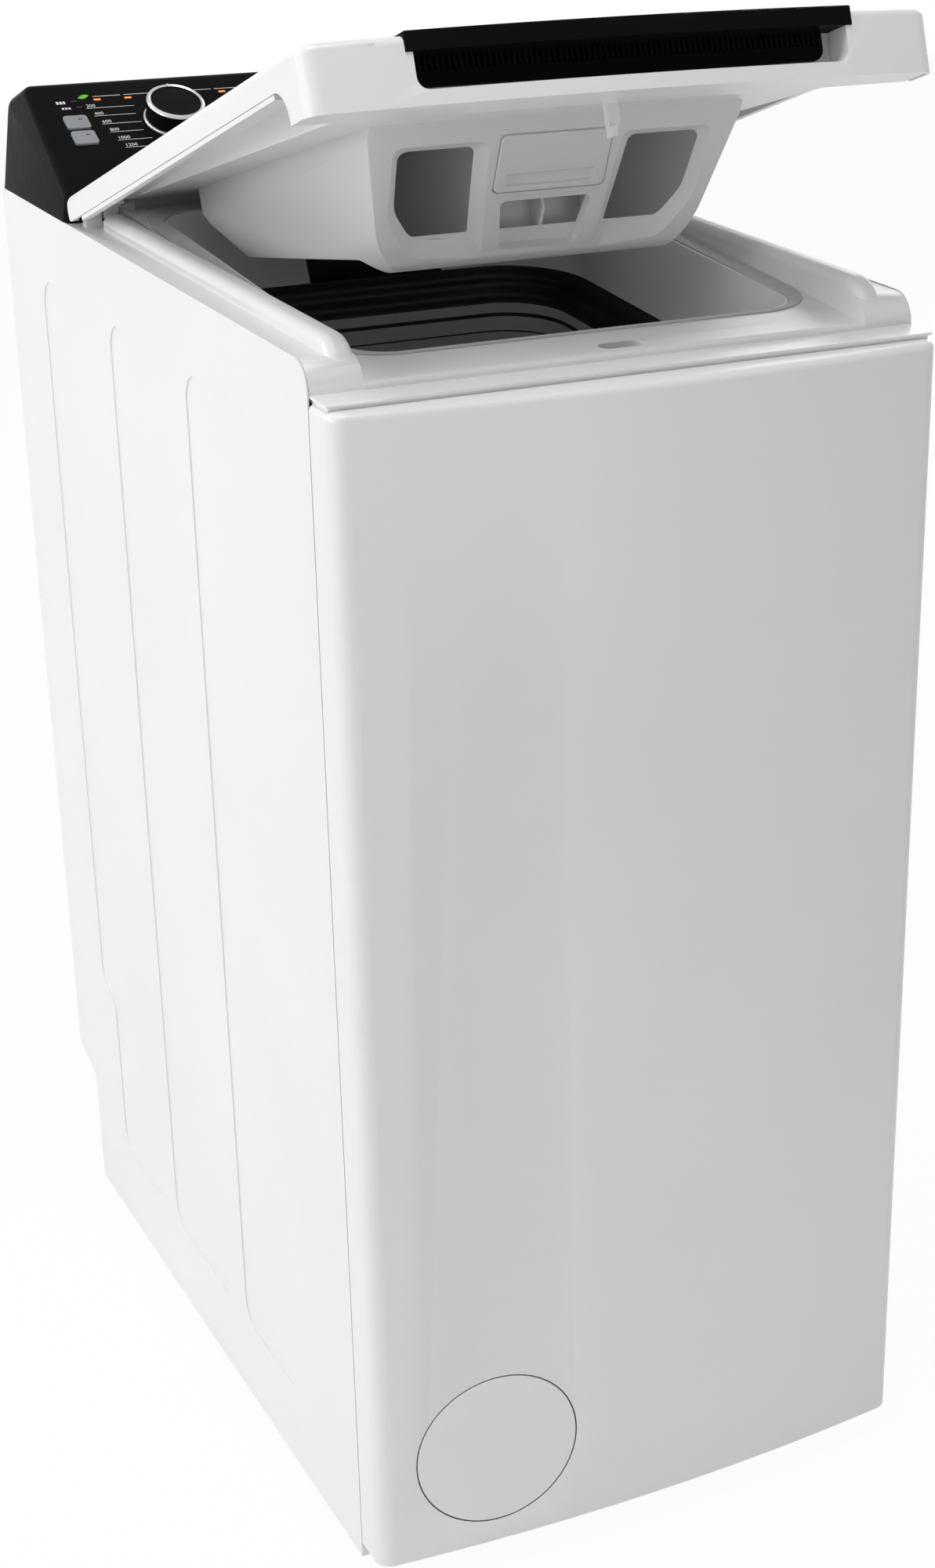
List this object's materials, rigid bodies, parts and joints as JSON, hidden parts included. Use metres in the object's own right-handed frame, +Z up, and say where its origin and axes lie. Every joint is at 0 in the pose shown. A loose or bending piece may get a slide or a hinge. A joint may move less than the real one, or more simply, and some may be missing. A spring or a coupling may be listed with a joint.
{
  "type": "top load washing machine",
  "caption": "Narrow top loading washing machine with a hinged lid, dispenser in the lid, horizontal drum with flaps and a sloped control panel.",
  "frame": {"origin": "on the floor under the middle of the cabinet's footprint", "axes": "+Z up, front with the lid handle towards -Y, +X to the right seen from the front"},
  "size_m": [0.4, 0.65, 1.0053],
  "materials": {
    "white_enamel": "gloss white enamel",
    "white_plastic": "satin white",
    "dispenser_plastic": "satin light grey",
    "black_plastic": "gloss black",
    "button_plastic": "satin grey",
    "lamp_lens": "orange translucent",
    "circuit_board": "green laminate",
    "grey_rubber": "matt grey",
    "black_rubber": "matt black",
    "stainless": "brushed stainless",
    "steel": "zinc plated",
    "lifter_plastic": "satin grey",
    "tub_plastic": "moulded grey white",
    "damper_plastic": "moulded white",
    "light_alloy": "as cast",
    "concrete": "cast concrete"
  },
  "bodies": {
    "cabinet": {"side_panel_left": "white_enamel", "side_panel_right": "white_enamel", "front_panel": "white_enamel", "rear_panel": "white_enamel", "base_pan": "white_enamel", "suspension_brackets": "steel", "top_frame": "white_plastic", "rim_seal": "grey_rubber", "control_panel": "black_plastic", "control_board": "circuit_board", "indicator_lenses": "lamp_lens", "lid_hinge_pins": "steel", "lid_lock": "white_plastic", "drain_pump": "damper_plastic", "inlet_valve": "damper_plastic", "drain_pipe": "damper_plastic", "cord_gland": "black_rubber", "damper_cylinders": "damper_plastic", "suspension_springs": "steel", "rear_feet": "black_rubber", "cabinet_screws": "steel", "fill_hose": "black_rubber", "sump_hose": "black_rubber", "door_gasket": "black_rubber"},
    "tub": {"tub_left": "tub_plastic", "tub_right": "tub_plastic", "tub_bolts": "steel", "heater": "stainless", "motor": "light_alloy", "counterweights": "concrete", "damper_rods": "steel", "bearings": "steel", "drive_belt": "black_rubber"},
    "drum": {"drum_shell": "stainless", "drum_end_left": "stainless", "drum_end_right": "stainless", "drum_lifters": "lifter_plastic", "drum_shafts": "steel", "drum_pulley": "light_alloy", "flap_hinge_pins": "stainless"},
    "lid": {"lid_shell": "white_plastic", "lid_liner": "white_plastic", "lid_handle": "black_plastic", "dispenser_tray": "dispenser_plastic", "dispenser_insert": "dispenser_plastic"},
    "motor_pulley_body": {"motor_pulley": "steel"},
    "flap_front_body": {"flap_front": "stainless"},
    "flap_rear_body": {"flap_rear": "stainless"},
    "flap_latch_body": {"flap_latch": "stainless"},
    "dispenser_release_body": {"dispenser_release": "dispenser_plastic"},
    "service_cover_body": {"service_cover": "white_plastic"},
    "filter_cap_body": {"filter_cap": "damper_plastic"},
    "program_knob_body": {"program_knob": "black_plastic"},
    "option_button_upper_body": {"option_button_upper": "button_plastic"},
    "option_button_lower_body": {"option_button_lower": "button_plastic"},
    "delay_button_body": {"delay_button": "button_plastic"},
    "start_button_body": {"start_button": "button_plastic"},
    "foot_front_left_body": {"foot_front_left": "black_rubber"},
    "foot_front_right_body": {"foot_front_right": "black_rubber"}
  },
  "joints": [
    {"name": "lid_hinge", "type": "hinge", "parent": "cabinet", "child": "lid", "pos_m": [0, 0.155, 0.8395], "axis": [-1, 0, 0], "range_deg": [-18.7, 66.3]},
    {"name": "tub_float", "type": "slide", "parent": "cabinet", "child": "tub", "axis": [0, 0, 1], "range_m": [-0.008, 0.008], "stiffness_N_per_m": 30000, "springref_m": 0.00981, "deforming": ["suspension_springs", "door_gasket", "sump_hose"]},
    {"name": "drum_spin", "type": "hinge", "parent": "tub", "child": "drum", "pos_m": [0, -0.02, 0.47], "axis": [1, 0, 0], "range_deg": [-360, 360]},
    {"name": "motor_spin", "type": "hinge", "parent": "tub", "child": "motor_pulley_body", "pos_m": [0.17, 0.12, 0.15], "axis": [1, 0, 0], "range_deg": [-3600, 3600]},
    {"name": "flap_front_hinge", "type": "hinge", "parent": "drum", "child": "flap_front_body", "pos_m": [0, -0.15916, 0.67588], "axis": [1, 0, 0], "range_deg": [0, 75]},
    {"name": "flap_rear_hinge", "type": "hinge", "parent": "drum", "child": "flap_rear_body", "pos_m": [0, 0.0813, 0.69692], "axis": [-1, 0, 0], "range_deg": [0, 80]},
    {"name": "flap_latch_slide", "type": "slide", "parent": "flap_front_body", "child": "flap_latch_body", "axis": [0, -0.9907, -0.136], "range_m": [0, 0.005], "stiffness_N_per_m": 300, "springref_m": -0.002},
    {"name": "dispenser_release_push", "type": "slide", "parent": "lid", "child": "dispenser_release_body", "axis": [0, 0.9184, 0.3955], "range_m": [0, 0.003], "stiffness_N_per_m": 500, "springref_m": -0.002},
    {"name": "knob_turn", "type": "hinge", "parent": "cabinet", "child": "program_knob_body", "pos_m": [-0.096, 0.23462, 0.88102], "axis": [0, -0.4441, 0.896], "continuous": true},
    {"name": "service_cover_pull", "type": "slide", "parent": "cabinet", "child": "service_cover_body", "axis": [0, -1, 0], "range_m": [0, 0.04]},
    {"name": "filter_cap_turn", "type": "hinge", "parent": "cabinet", "child": "filter_cap_body", "pos_m": [-0.116, -0.28, 0.097], "axis": [0, -1, 0], "range_deg": [0, 90]},
    {"name": "foot_left_turn", "type": "hinge", "parent": "cabinet", "child": "foot_front_left_body", "pos_m": [-0.165, -0.25, 0.02], "axis": [0, 0, 1], "continuous": true},
    {"name": "foot_right_turn", "type": "hinge", "parent": "cabinet", "child": "foot_front_right_body", "pos_m": [0.165, -0.25, 0.02], "axis": [0, 0, 1], "continuous": true},
    {"name": "option_button_upper_push", "type": "slide", "parent": "cabinet", "child": "option_button_upper_body", "axis": [0, 0.4441, -0.896], "range_m": [0, 0.0015], "stiffness_N_per_m": 800, "springref_m": -0.001},
    {"name": "option_button_lower_push", "type": "slide", "parent": "cabinet", "child": "option_button_lower_body", "axis": [0, 0.4441, -0.896], "range_m": [0, 0.0015], "stiffness_N_per_m": 800, "springref_m": -0.001},
    {"name": "delay_button_push", "type": "slide", "parent": "cabinet", "child": "delay_button_body", "axis": [0, 0.4441, -0.896], "range_m": [0, 0.0015], "stiffness_N_per_m": 800, "springref_m": -0.001},
    {"name": "start_button_push", "type": "slide", "parent": "cabinet", "child": "start_button_body", "axis": [0, 0.4441, -0.896], "range_m": [0, 0.0015], "stiffness_N_per_m": 800, "springref_m": -0.001}
  ],
  "couplings": [
    {"joint": "motor_spin", "follows": "drum_spin", "ratio": 10}
  ]
}
